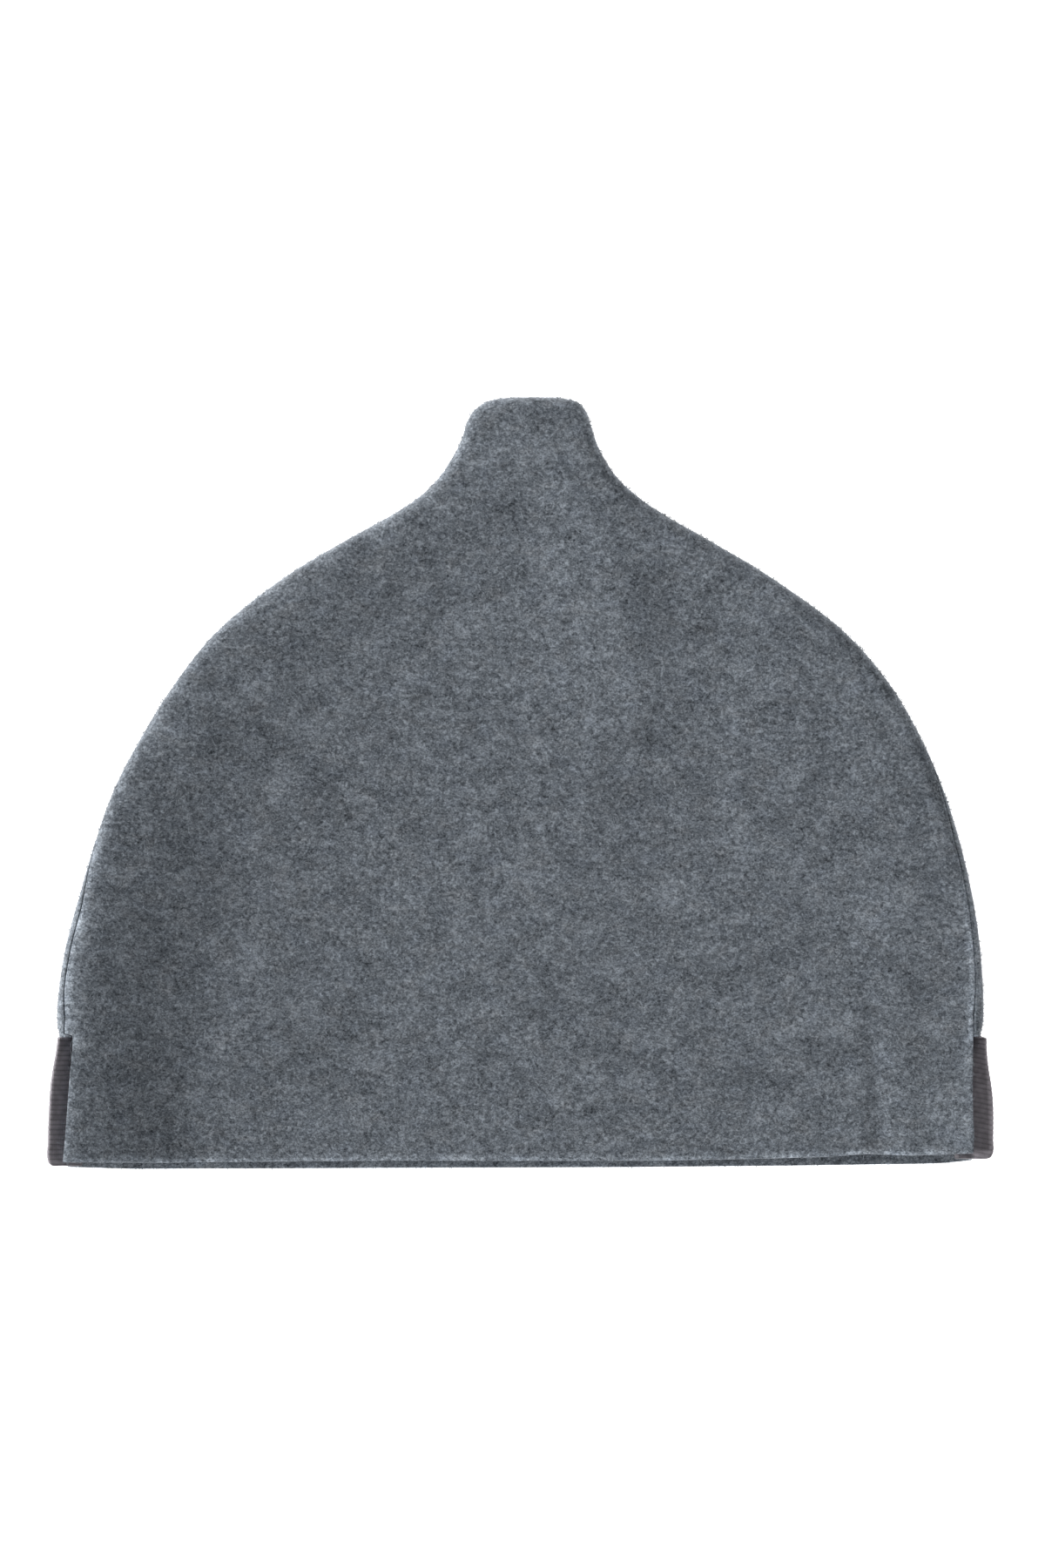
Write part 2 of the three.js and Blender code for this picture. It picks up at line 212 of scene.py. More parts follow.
# The felt's noises: size, stretch, turn in degrees, detail, roughness and wander
FELT_NOISES = {
    "grain": (1500, (0.9, 1.1, 1), 20, 2.0, 0.65, 0.4),
    "clumps": (620, (0.88, 1.08, 1), 4, 2.0, 0.6, 0.6),
    "patches": (105, (0.9, 1.1, 1), -3, 3.0, 0.6, 0.4),
    "drifts": (24, (0.9, 1.1, 1), 20, 2.0, 0.5, 0.3),
    "tint": (170, (0.8, 1.3, 1), 9, 2.0, 0.5, 0.6),
}
# How far each of them swings the felt's tone, and how far the curled fibres do
FELT_SWINGS = {"grain": 1.35, "clumps": 1.05, "patches": 0.6, "drifts": 0.12}
CURL_SWING = 0.17
# The curled fibres: size of the noise whose middle line they follow, turn in degrees and width
PALE_CURLS = ((420, 31, 0.03), (560, -64, 0.03))
DARK_CURLS = ((460, -12, 0.026), (380, 77, 0.02))
# Brightness and tint of the darkest, the middle and the palest wool against the felt's colour
FELT_TONES = ((0.0, 0.12, (0.9, 1, 1.15)), (0.5, 0.96, (1, 1, 1)), (1.0, 2.45, (1.02, 1.0, 0.98)))
WARM_TINT = (1.08, 1.01, 0.95, 1)
COOL_TINT = (0.97, 1.0, 1.06, 1)
TINT_STRENGTH = 0.4
# How bright the palest loose fibres are against the felt
FIBRE_BRIGHTNESS = 1.8
# The fibres along the edges: how far in from the outline, up from the hem and over the floor they stand
FUZZ_REACH = 2.2
FUZZ_HEM = 5.5
FUZZ_CLEARANCE = 2.2
# Layers of fibres: the panel, whether they stand along its edges, share of the full length, most lift in radians
FIBRE_LAYERS = {
    "front_nap": ("front_felt", False, 1, 0.25),
    "front_fuzz": ("front_felt", True, 0.35, 1.0),
    "back_fuzz": ("back_felt", True, 0.35, 1.0),
}
# Brightness of the grosgrain's grooves and crowns against its colour: painted shade in the grooves and a painted
# highlight on the crowns, both raised as painted light for ribbons that lie in shade
RIB_SHADE_AND_HIGHLIGHT = ((0.0, 1.2), (0.8, 2.2))
# Each light's place, width and power in watts
LIGHTS = {
    "key": ((-4.48, 1.81, 1.29), 1.8, 376),
    "back": ((0.2, 0.52, 0.36), 0.4, 1.6),
    "side": ((-4.75, -0.9, 1.29), 1.8, 235),
    "front": ((0.3, -1.5, 0.33), 0.6, 5),
    "right": ((1.5, -0.5, 0.4), 0.5, 6),
}
LIGHT_COLOUR = (0.97, 0.985, 1.0)
WORLD_STRENGTH = 0.14
FLOOR_REACH = 4.0
FLOOR_GLOW = 1.2
# The camera's height, the height at which the picture is true to size, its rows and the size of a pixel there, and how
# many pixels the camera stands off the middle
CAMERA_HEIGHT = 3.0
TRUE_SIZE_HEIGHT = 5.5 * MM
PICTURE_ROWS = 1801
PIXEL = 0.2857 * MM
CAMERA_OFFSET = (2.5, -0.5)
SENSOR = 36


def record_colour(slot):
    """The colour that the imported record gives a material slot."""
    for material in frame["record"]["materials"]:
        if material["slot"] == slot:
            return tuple(material["base_color"][:3])
    raise ValueError(f"the record has no material slot named {slot}")


class FeltSizes(PropertyGroup):
    thickness: FloatProperty(
        name="Felt thickness", description="Thickness of each panel", default=3 * MM, unit="LENGTH"
    )
    rim_depth: FloatProperty(
        name="Rim depth", description="How far in from the outline the rim reaches", default=5.6 * MM, unit="LENGTH"
    )
    rim_half: FloatProperty(
        name="Half rim height", description="Half the height of the rim", default=6.5 * MM, unit="LENGTH"
    )
    edge_bulge: FloatProperty(
        name="Edge bulge", description="How far the felt's edges round out", default=0.2 * MM, unit="LENGTH"
    )
    seam_gap: FloatProperty(
        name="Seam gap", description="Gap between the panels at the seam", default=0.08 * MM, unit="LENGTH"
    )
    rim_bluntness: FloatProperty(
        name="Rim bluntness", description="Power of the rim's upper curve: 2 is round, more is blunter", default=3.0
    )
    waviness: FloatProperty(
        name="Waviness", description="Height of the front face's slight waves", default=0.13 * MM, unit="LENGTH"
    )
    mesh_step: FloatProperty(
        name="Mesh step", description="Length of the mesh's faces", default=1.7 * MM, unit="LENGTH"
    )
    felt_colour: FloatVectorProperty(
        name="Felt colour", description="Mean colour of the wool", default=record_colour("felt"), min=0, max=1,
        subtype="COLOR",
    )


class NapSizes(PropertyGroup):
    fibre_length: FloatProperty(
        name="Fibre length", description="Length of a loose wool fibre", default=2.4 * MM, unit="LENGTH"
    )
    fibre_thickness: FloatProperty(
        name="Fibre thickness", description="Radius of a loose fibre", default=0.06 * MM, unit="LENGTH"
    )
    face_density: FloatProperty(
        name="Fibres on the faces", description="Loose fibres for each square metre", default=110000
    )
    edge_density: FloatProperty(
        name="Fibres on the edges", description="Loose fibres for each square metre", default=700000
    )
    seed: IntProperty(name="Seed", description="Seed of the fibres' places", default=7)


class RibbonSizes(PropertyGroup):
    thickness: FloatProperty(
        name="Ribbon thickness", description="Thickness of the grosgrain", default=0.8 * MM, unit="LENGTH"
    )
    rib_pitch: FloatProperty(
        name="Rib pitch", description="Distance from rib to rib", default=1.62 * MM, unit="LENGTH"
    )
    rib_height: FloatProperty(
        name="Rib height", description="Height of a rib over its groove", default=0.14 * MM, unit="LENGTH"
    )
    ribbon_colour: FloatVectorProperty(
        name="Ribbon colour", description="Colour of the ribbon", default=record_colour("grosgrain"), min=0, max=1,
        subtype="COLOR",
    )


def smooth(t):
    """A soft step: 0 up to 0 and 1 from 1 on."""
    t = np.clip(t, 0, 1)
    return t * t * (3 - 2 * t)


def fading(distance, full, fade):
    """1 up to a distance, then falling to 0 over another."""
    return 1 - smooth((distance - full) / fade)


def through(places, values, at):
    """A smooth line through values at places, read at other places; values may hold one row of places for each."""
    places = np.asarray(places, float)
    values = np.broadcast_to(np.asarray(values, float), (*np.shape(at), len(places)))
    slopes = np.diff(values, axis=-1) / np.diff(places)
    middle = (slopes[..., 1:] + slopes[..., :-1]) / 2
    tangents = np.concatenate([slopes[..., :1], middle, slopes[..., -1:]], axis=-1)
    i = np.clip(np.searchsorted(places, at, side="right") - 1, 0, len(places) - 2)
    length = places[i + 1] - places[i]
    p = np.clip((at - places[i]) / length, 0, 1)
    start, end, rise, fall = (
        np.take_along_axis(table, index[..., None], axis=-1)[..., 0]
        for table, index in ((values, i), (values, i + 1), (tangents, i), (tangents, i + 1))
    )
    return (
        start * (2 * p**3 - 3 * p**2 + 1)
        + rise * length * (p**3 - 2 * p**2 + p)
        + end * (3 * p**2 - 2 * p**3)
        + fall * length * (p**3 - p**2)
    )


def outline_points(side, place):
    """Points of the outline at places counted in rows of its table; past the top it runs down the other side."""
    place = np.maximum(0, np.asarray(place, float))
    lines = {}
    for column, name in enumerate(SIDES, 1):
        rows = np.array([(row[column], row[0]) for row in OUTLINE] + [TOP_CENTRE], float)
        lines[name] = np.vstack([2 * rows[0] - rows[1], rows, 2 * rows[-1] - rows[-2]])
    top = len(OUTLINE)
    beyond = place > top
    here = np.where(beyond, 2 * top - place, place)
    found = {name: centripetal(line, here) for name, line in lines.items()}
    return np.where(beyond[..., None], found[OTHER[side]], found[side])


def centripetal(line, place):
    """A centripetal Catmull-Rom curve through a line of points that has one spare point at each end."""
    i = np.clip(np.floor(place).astype(int), 0, len(line) - 4)
    p = (place - i)[..., None]
    a, b, c, d = line[i], line[i + 1], line[i + 2], line[i + 3]
    ab, bc, cd = (
        np.sqrt(np.linalg.norm(end - start, axis=-1))[..., None]
        for start, end in ((a, b), (b, c), (c, d))
    )
    at_b = ((b - a) / ab - (c - a) / (ab + bc) + (c - b) / bc) * bc
    at_c = ((c - b) / bc - (d - b) / (bc + cd) + (d - c) / cd) * bc
    return b + at_b * p + (3 * (c - b) - 2 * at_b - at_c) * p**2 + (2 * (b - c) + at_b + at_c) * p**3


def slit_lift(side, above):
    """How far the front panel stands up beside a slit, in millimetres."""
    return SLIT_LIFT[side] * smooth(1 - above / SLIT_TOP)


def slit_notch(above, inward):
    """How far the seam's end pulls the rim in at the top of a slit, in millimetres."""
    return NOTCH_DEPTH * np.exp(-(((above - SLIT_TOP) / NOTCH_LENGTH) ** 2)) * (1 - smooth(inward / NOTCH_FADE))


def front_rise(across, above, from_left, from_right):
    """Rise of the front panel's outer face over the rim, in millimetres."""
    columns = np.array(FRONT_FORM).T
    at_height = np.stack([through(FORM_ROWS, column, above) for column in columns], axis=-1)
    place = (from_left - from_right) / (from_left + from_right)
    form = through(FORM_COLUMNS, at_height, place)
    for middle, up, along, wide, lean, height in FOLDS.values():
        lean = math.radians(lean)
        dx, dy = across - middle, above - up
        u = (dx * math.cos(lean) + dy * math.sin(lean)) / wide
        v = (dy * math.cos(lean) - dx * math.sin(lean)) / along
        form = form + height * np.exp(-(u * u + v * v) / 2)
    neck = 1 - smooth((above - NECK_START) / (NECK_END - NECK_START))
    return form * neck * smooth(from_left / LEFT_SETTLE) * smooth(from_right / RIGHT_SETTLE)


class RimCurve:
    """The rim's section: a turn of 0 is its widest line, a quarter turn up its top and a quarter turn down its bottom.

    Steps are measured along the middle of the felt."""

    def __init__(self, depth, half_height, felt, bluntness):
        self.depth, self.half_height, self.bluntness = depth, half_height, bluntness
        spread = np.linspace(-1, 1, 4001)
        self.turns = np.sign(spread) * np.abs(spread) ** 2.5 * math.pi / 2
        inward, height = self.point(self.turns, felt / 2)
        steps = np.hypot(np.diff(inward), np.diff(height))
        self.lengths = np.concatenate([[0], np.cumsum(steps)])

    def point(self, turn, under):
        """Distance in from the outline and height over the floor, so far under the rim's outer face."""
        power = np.where(turn > 0, 2 / self.bluntness, 1)
        in_share = np.maximum(np.cos(turn), 0) ** power
        up_share = np.sign(turn) * np.abs(np.sin(turn)) ** power
        return self.depth - (self.depth - under) * in_share, self.half_height + (self.half_height - under) * up_share

    def turn_at(self, inset):
        """Turn of the upper place that lies so far in from the outline."""
        return np.arccos(np.clip(1 - inset / self.depth, 0, 1) ** (self.bluntness / 2))

    def stepped(self, turn, step):
        """The turn so far along the rim from another."""
        return np.interp(np.interp(turn, self.turns, self.lengths) + step, self.lengths, self.turns)

    def between(self, start, end, share):
        """The turn a share of the way along the rim between two others."""
        first, last = (np.interp(turn, self.turns, self.lengths) for turn in (start, end))
        return np.interp(first + (last - first) * share, self.lengths, self.turns)


def waves(across, above, seed):
    """Slight waves of the felt's face, from -1 to 1 or so: a sum of rows of ripples in chance directions."""
    chance = np.random.default_rng(seed)
    total = np.zeros_like(across)
    for length in np.geomspace(9, 60, 28):
        turn, phase = chance.uniform(0, 2 * math.pi, 2)
        along = across * math.cos(turn) + above * math.sin(turn) * 1.5
        total += np.sin(2 * math.pi * along / length + phase) * math.sqrt(length / 60)
    return total / 3.5


def section_places(step):
    """Places along the outline's table that are close enough together for the mesh."""
    corners = {side: outline_points(side, np.arange(len(OUTLINE) + 1)) for side in SIDES}
    places = list(np.interp(FINE_ROWS, [row[0] for row in OUTLINE], range(len(OUTLINE))))
    for row in range(len(OUTLINE)):
        length = max(np.linalg.norm(corners[side][row + 1] - corners[side][row]) for side in SIDES)
        count = max(2, math.ceil(length / step))
        places += [row + k / count for k in range(count)]
    return np.unique(np.round(places + [len(OUTLINE)], 6))


def middle_line(place):
    """The line up the middle of the hat in which a panel's two halves meet."""
    middle = (outline_points("left", place) + outline_points("right", place)) / 2
    lean = smooth((middle[:, 1] - TIP_START) / (HAT_LENGTH - TIP_START))
    return middle - np.stack([np.zeros_like(lean), TIP_SHORTFALL * lean], axis=-1)


def inward_normal(side, place):
    """Directions into the hat, square to its outline."""
    along = outline_points(side, place + 1) - outline_points(side, place - 1)
    along /= np.linalg.norm(along, axis=-1)[:, None]
    return np.stack([-SIGN[side] * along[:, 1], SIGN[side] * along[:, 0]], axis=-1)


def rim_part(sizes, side, front, face, place, row_round):
    """Columns of one half of a panel's face over the rim, from the panel's edge in: places across and up, heights."""
    felt, bulge, gap = (v / MM for v in (sizes.thickness, sizes.edge_bulge, sizes.seam_gap))
    curve = RimCurve(sizes.rim_depth / MM, sizes.rim_half / MM, felt, sizes.rim_bluntness)
    base = outline_points(side, place)
    inset = np.interp(base[:, 1], FRONT_EDGE["above_hem"], FRONT_EDGE[side])
    seam = curve.turn_at(inset)
    from_seam = gap / 2 + bulge
    if front:
        start, end = curve.stepped(seam, from_seam), np.full(len(base), math.pi / 2)
        lift = slit_lift(side, base[:, 1])
    else:
        in_slit = base[:, 1] <= SEAM_START
        start = np.where(in_slit, SLIT_BACK_EDGE, curve.stepped(seam, -from_seam))
        end = np.full(len(base), -math.pi / 2)
        lift = np.zeros(len(base))
    rim_turns = curve.between(start[:, None], end[:, None], np.linspace(0, 1, RIM_COLUMNS)[None, :])
    outwards = -1 if front else 1
    edge_turns = curve.stepped(start[:, None], outwards * bulge * np.sin(ROUNDING)[None, :])
    column_round = np.concatenate([ROUNDING, np.zeros(RIM_COLUMNS)])
    half = np.cos(row_round)[:, None] * np.cos(column_round)[None, :]
    under = felt / 2 * (1 - face * half)
    inward, height = curve.point(np.concatenate([edge_turns, rim_turns], axis=1), under)
    inward = inward + slit_notch(base[:, 1:2], inward)
    points = base[:, None] + inward_normal(side, place)[:, None] * inward[..., None]
    return points, height + lift[:, None]


def flat_part(sizes, side, front, face, place, row_round):
    """Columns of one half of a panel's face from the rim to the middle: places across and up, heights."""
    felt, rim_half = sizes.thickness / MM, sizes.rim_half / MM
    base = outline_points(side, place)
    ring = base + inward_normal(side, place) * (sizes.rim_depth / MM)
    spine = middle_line(place)
    steps = math.ceil(HALF_WIDTH / (sizes.mesh_step / MM) * (FRONT_COLUMNS if front else BACK_COLUMNS))
    shares = np.arange(1, steps + 1) / steps
    flat = ring[:, None] + (spine - ring)[:, None] * shares[None, :, None]
    reach = np.linalg.norm(spine - ring, axis=-1)[:, None]
    near, far = reach * shares, reach * (2 - shares)
    under = felt / 2 * (1 - face * np.cos(row_round)[:, None])
    if not front:
        return flat, np.broadcast_to(under, near.shape)
    from_ends = (near, far) if side == "left" else (far, near)
    rise = front_rise(flat[..., 0], flat[..., 1], *from_ends)
    rise += (
        sizes.waviness / MM
        * waves(flat[..., 0], flat[..., 1], FACE_WAVES_SEED)
        * smooth(near / WAVES_START)
        * smooth((HAT_LENGTH - WAVES_END - flat[..., 1]) / WAVES_FADE)
    )
    lift, other_lift = slit_lift(side, base[:, 1]), slit_lift(OTHER[side], base[:, 1])
    tilt = lift[:, None] + (other_lift - lift)[:, None] * shares / 2
    return flat, 2 * rim_half + rise + tilt - under


def panel_grid(sizes, front, face):
    """Points of one face of a panel in rows from the hem up and columns from the left edge to the right edge.

    The face is -1 for the inner face and 1 for the outer one. The rows and columns at the cut edges round
    towards the middle of the felt, where the two faces meet."""
    bulge = sizes.edge_bulge / MM
    place = section_places(sizes.mesh_step / MM)
    place[0] = bulge / OUTLINE[1][0]
    row_round = np.concatenate([ROUNDING, np.zeros(len(place))])
    place = np.concatenate([np.full(len(ROUNDING), place[0]), place])
    halves = []
    for side in SIDES:
        parts = [part(sizes, side, front, face, place, row_round) for part in (rim_part, flat_part)]
        points, height = (np.concatenate(values, axis=1) for values in zip(*parts))
        halves.append(np.concatenate([points, height[..., None]], axis=-1))
    left, right = halves
    grid = np.concatenate([left, right[:, ::-1][:, 1:]], axis=1)
    hem = FRONT_HEM if front else BACK_HEM
    above = grid[..., 1].copy()
    grid[..., 1] += np.interp(grid[..., 0], hem["across"], hem["above"]) * np.exp(-above / HEM_FADE)
    grid[..., 1] -= (bulge * np.sin(row_round))[:, None]
    grid[..., 1] -= HAT_LENGTH / 2
    return grid * MM


def painted_light_layers(distance, above, layers):
    """The sum of layers of painted light so far in from an edge and above the hem, in millimetres."""
    total = 0
    for strength, full, fade, start in layers:
        layer = strength * fading(distance, full, fade)
        if start:
            layer = layer * smooth((above - start[0]) / start[1])
        total = total + layer
    return total


def paint_edge_light(grid, front):
    """How much painted light the felt's edges get at each point of a panel's grid, less the painted shade on the
    stub's rim: 1 is twice as bright.
    """
    ends = {"hem": grid[:1], "left": grid[:, :1], "right": grid[:, -1:], "tip": grid[-1:]}
    distance = {name: np.linalg.norm(grid - end, axis=-1) / MM for name, end in ends.items()}
    across, above = grid[..., 0] / MM, grid[..., 1] / MM + HAT_LENGTH / 2
    layers = PAINTED_EDGE_LIGHT["front" if front else "back"]
    pale = {name: painted_light_layers(distance[name], above, layers[name]) for name in layers}
    if front:
        pale["hem"] = pale["hem"] * (1 + HEM_LIGHT_UNEVENNESS * waves(across * 1.5, above, HEM_WAVES_SEED))
    sides = np.maximum(pale["left"], pale["right"]) * fading(above, EDGE_LIGHT_HEIGHT, EDGE_LIGHT_FADE)
    from_rim = np.minimum(np.minimum(distance["left"], distance["right"]), distance["tip"])
    # Painted shade on the stub's rim is taken off the painted light
    return np.maximum(pale["hem"], sides) - painted_light_layers(from_rim, above, (PAINTED_STUB_SHADE,))


def mesh_from_faces(name, outer, inner, faces_up, pale):
    """A closed mesh from the outer and inner faces of a piece of cloth, which meet all round their edges."""
    rows, columns = outer.shape[:2]
    index = np.arange(rows * columns).reshape(rows, columns)
    quads = np.stack([index[:-1, :-1], index[:-1, 1:], index[1:, 1:], index[1:, :-1]], axis=-1).reshape(-1, 4)
    if not faces_up:
        quads = quads[:, ::-1]
    faces = np.concatenate([quads, quads[:, ::-1] + rows * columns])
    points = np.concatenate([outer.reshape(-1, 3), inner.reshape(-1, 3)])
    mesh = bpy.data.meshes.new(name)
    mesh.from_pydata(points.tolist(), [], faces.tolist())
    outside = np.repeat([1.0, 0.0], rows * columns)
    # Each point also carries the painted light and shade given for it
    for label, values in (("outside", outside), ("pale", np.tile(pale.ravel(), 2))):
        mesh.attributes.new(label, "FLOAT", "POINT").data.foreach_set("value", values)
    made = bmesh.new()
    made.from_mesh(mesh)
    bmesh.ops.remove_doubles(made, verts=made.verts, dist=2e-6)
    bmesh.ops.dissolve_degenerate(made, edges=made.edges, dist=1e-7)
    made.to_mesh(mesh)
    made.free()
    mesh.shade_smooth()
    return mesh


def add_piece(mesh, replaced=()):
    """Shows a mesh as a piece of the hat under the root body and hides the imported parts that it replaces."""
    piece = bpy.data.objects.new(mesh.name, mesh)
    bpy.context.scene.collection.objects.link(piece)
    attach(piece, "root")
    if replaced:
        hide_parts(*replaced)
    return piece


def add_node(tree, kind, inputs=None, **settings):
    """Adds a node, sets it up and fills its sockets, given by number or name, with values or other nodes' outputs.

    Of the sockets with one name it takes the one that the node's settings switch on."""
    made = tree.nodes.new(kind)
    for name, value in settings.items():
        setattr(made, name, value)
    for place, value in (inputs or {}).items():
        if isinstance(place, int):
            socket = made.inputs[place]
        else:
            socket = next(s for s in made.inputs if s.name == place and s.enabled)
        if isinstance(value, bpy.types.NodeSocket):
            tree.links.new(value, socket)
        else:
            socket.default_value = value
    return made


def output_of(node, name):
    """The output with a name that the node's settings switch on."""
    return next(s for s in node.outputs if s.name == name and s.enabled)


def scaled(colour, factor, tint=(1, 1, 1)):
    """A colour made so much brighter and tinted, with an alpha of 1."""
    return tuple(min(1, c * factor * t) for c, t in zip(colour, tint)) + (1,)


def new_material(name, values):
    """A new material, its node tree and its principled shader, with values for the shader's named sockets."""
    material = bpy.data.materials.new(name)
    material.use_nodes = True
    shader = material.node_tree.nodes["Principled BSDF"]
    for socket, value in values.items():
        shader.inputs[socket].default_value = value
    return material, material.node_tree, shader


def colour_ramp(tree, value, stops):
    """The colour that a ramp gives to a value, from the positions and colours of its stops."""
    ramp = add_node(tree, "ShaderNodeValToRGB", {"Fac": value})
    elements = ramp.color_ramp.elements
    (elements[0].position, elements[0].color), (elements[1].position, elements[1].color) = stops[0], stops[-1]
    for position, colour in stops[1:-1]:
        elements.new(position).color = colour
    return ramp.outputs[0]


def add_bump(tree, shader, height, strength, distance):
    """Gives a shader relief too fine for the mesh."""
    bump = add_node(tree, "ShaderNodeBump", {"Height": height, "Strength": strength, "Distance": distance})
    tree.links.new(bump.outputs[0], shader.inputs["Normal"])


def felt_material(name, colour):
    """Melange wool felt: clumps of dark and pale fibres, curled fibres, soft patches of tint and a matted surface,
    with the painted light and shade that the panels carry.
    """
    surface = {"Roughness": 0.95, "Diffuse Roughness": 0.4, "Specular IOR Level": 0.12}
    sheen = {"Sheen Weight": 0.3, "Sheen Roughness": 0.5, "Sheen Tint": (0.9, 0.94, 1.0, 1)}
    material, tree, shader = new_material(name, {**surface, **sheen})
    place = add_node(tree, "ShaderNodeTexCoord").outputs["Object"]

    def noise(scale, stretch, turn, detail, roughness, distortion):
        turned = {"Vector": place, "Rotation": (0, 0, math.radians(turn)), "Scale": stretch}
        mapped = add_node(tree, "ShaderNodeMapping", turned).outputs[0]
        values = {"Scale": scale, "Detail": detail, "Roughness": roughness, "Distortion": distortion}
        return add_node(tree, "ShaderNodeTexNoise", {"Vector": mapped, **values}).outputs["Fac"]

    def sharpen(value, low, high, bottom=0.0, top=1.0):
        ends = {"From Min": low, "From Max": high, "To Min": bottom, "To Max": top}
        made = add_node(tree, "ShaderNodeMapRange", {"Value": value, **ends}, interpolation_type="SMOOTHSTEP")
        return made.outputs[0]

    def add(a, b, operation="ADD"):
        return add_node(tree, "ShaderNodeMath", {0: a, 1: b}, operation=operation).outputs[0]

    def multiply(factor, a, b):
        inputs = {"Factor": factor, "A": a, "B": b}
        kind = {"data_type": "RGBA", "blend_type": "MULTIPLY", "clamp_result": True}
        return output_of(add_node(tree, "ShaderNodeMix", inputs, **kind), "Result")

    def curls(scale, turn, width):
        wander = noise(scale, (0.85, 1.1, 1), turn, 1.0, 0.5, 1.0)
        off = add(add(wander, 0.5, "SUBTRACT"), 0.0, "ABSOLUTE")
        return sharpen(off, width, 0.0)

    noises = {layer: noise(*numbers) for layer, numbers in FELT_NOISES.items()}
    pale, dark = (add(curls(*first), curls(*second), "MAXIMUM") for first, second in (PALE_CURLS, DARK_CURLS))
    swings = [add(add(noises[layer], 0.5, "SUBTRACT"), far, "MULTIPLY") for layer, far in FELT_SWINGS.items()]
    tone = swings[0]
    for swing in swings[1:]:
        tone = add(tone, swing)
    tone = add(tone, add(pale, CURL_SWING, "MULTIPLY"))
    tone = add(tone, add(dark, CURL_SWING, "MULTIPLY"), "SUBTRACT")
    stops = [(position, scaled(colour, bright, tint)) for position, bright, tint in FELT_TONES]
    shade = colour_ramp(tree, add(tone, 0.5), stops)
    shade = multiply(sharpen(noises["tint"], 0.5, 0.75, 0, TINT_STRENGTH), shade, WARM_TINT)
    shade = multiply(sharpen(noises["tint"], 0.5, 0.25, 0, TINT_STRENGTH), shade, COOL_TINT)
    loose = add_node(tree, "ShaderNodeAttribute", attribute_name="tone").outputs["Fac"]
    shade = multiply(1.0, shade, sharpen(loose, 0.0, 1.0, 1.0, FIBRE_BRIGHTNESS))
    # Painted light along the panels' edges and painted shade on the stub's rim brighten and darken the wool
    edge_light_attribute = add_node(tree, "ShaderNodeAttribute", attribute_name="pale").outputs["Fac"]
    shade = multiply(1.0, shade, add(edge_light_attribute, 1.0))
    tree.links.new(shade, shader.inputs["Base Color"])
    relief = add(add(noises["grain"], noises["clumps"]), add(pale, 0.25, "MULTIPLY"))
    relief = add(relief, add(noises["patches"], 0.6, "MULTIPLY"))
    add_bump(tree, shader, relief, 0.26, 0.5 * MM)
    return material


def grosgrain_material(name, colour):
    """Grosgrain: fine warp threads over the ribs, painted highlights on their crowns and painted shade in the grooves,
    the painted light and shade that each ribbon carries, and a soft sheen.
    """
    material, tree, shader = new_material(
        name, {"Roughness": 0.62, "Specular IOR Level": 0.3, "Sheen Weight": 0.25, "Sheen Roughness": 0.4}
    )
    place = add_node(tree, "ShaderNodeTexCoord").outputs["Object"]
    rib = add_node(tree, "ShaderNodeAttribute", attribute_name="crown").outputs["Fac"]
    threads = {"Vector": place, "Scale": 620.0, "Distortion": 2.0, "Detail": 1.0, "Detail Scale": 3.0}
    threads = add_node(tree, "ShaderNodeTexWave", threads, wave_type="BANDS", bands_direction="X").outputs["Fac"]
    uneven = add_node(tree, "ShaderNodeTexNoise", {"Vector": place, "Scale": 420.0, "Detail": 3.0}).outputs["Fac"]
    ends = {"From Min": 0.3, "From Max": 0.7, "To Min": 0.8, "To Max": 1.2}
    speckle = add_node(tree, "ShaderNodeMapRange", {"Value": uneven, **ends}).outputs[0]
    # Painted light and shade given to each ribbon scale the speckled colour
    pale = add_node(tree, "ShaderNodeAttribute", attribute_name="pale").outputs["Fac"]
    lit = add_node(tree, "ShaderNodeMath", {0: speckle, 1: pale, 2: speckle}, operation="MULTIPLY_ADD").outputs[0]
    # Painted shade in the rib grooves and painted highlights on the crowns
    shade = colour_ramp(tree, rib, [(position, scaled(colour, bright)) for position, bright in RIB_SHADE_AND_HIGHLIGHT])
    inputs = {"Factor": 1.0, "A": shade, "B": lit}
    mixed = add_node(tree, "ShaderNodeMix", inputs, data_type="RGBA", blend_type="MULTIPLY")
    tree.links.new(output_of(mixed, "Result"), shader.inputs["Base Color"])
    add_bump(tree, shader, threads, 0.35, 0.12 * MM)
    return material


def run_nodes(source, group, name, values):
    """Runs a geometry node group on an object with values for its named inputs and returns the result as a mesh."""
    modifier = source.modifiers.new(name, "NODES")
    modifier.node_group = group
    for item in group.interface.items_tree:
        if item.item_type == "SOCKET" and item.in_out == "INPUT" and item.name in values:
            modifier[item.identifier] = values[item.name]
    bpy.context.view_layer.update()
    evaluated = source.evaluated_get(bpy.context.evaluated_depsgraph_get())
    mesh = bpy.data.meshes.new_from_object(evaluated)
    mesh.name = name
    source.modifiers.remove(modifier)
    return mesh


def node_group(name, inputs):
    """A geometry node group, the values given to it by name, and the sockets of its result."""
    group = bpy.data.node_groups.new(name, "GeometryNodeTree")
    group.interface.new_socket("Geometry", in_out="OUTPUT", socket_type="NodeSocketGeometry")
    group.interface.new_socket("Geometry", in_out="INPUT", socket_type="NodeSocketGeometry")
    for label, kind in inputs.items():
        group.interface.new_socket(label, in_out="INPUT", socket_type=f"NodeSocket{kind}")
    start = group.nodes.new("NodeGroupInput")
    end = group.nodes.new("NodeGroupOutput")
    return group, start.outputs, end.inputs


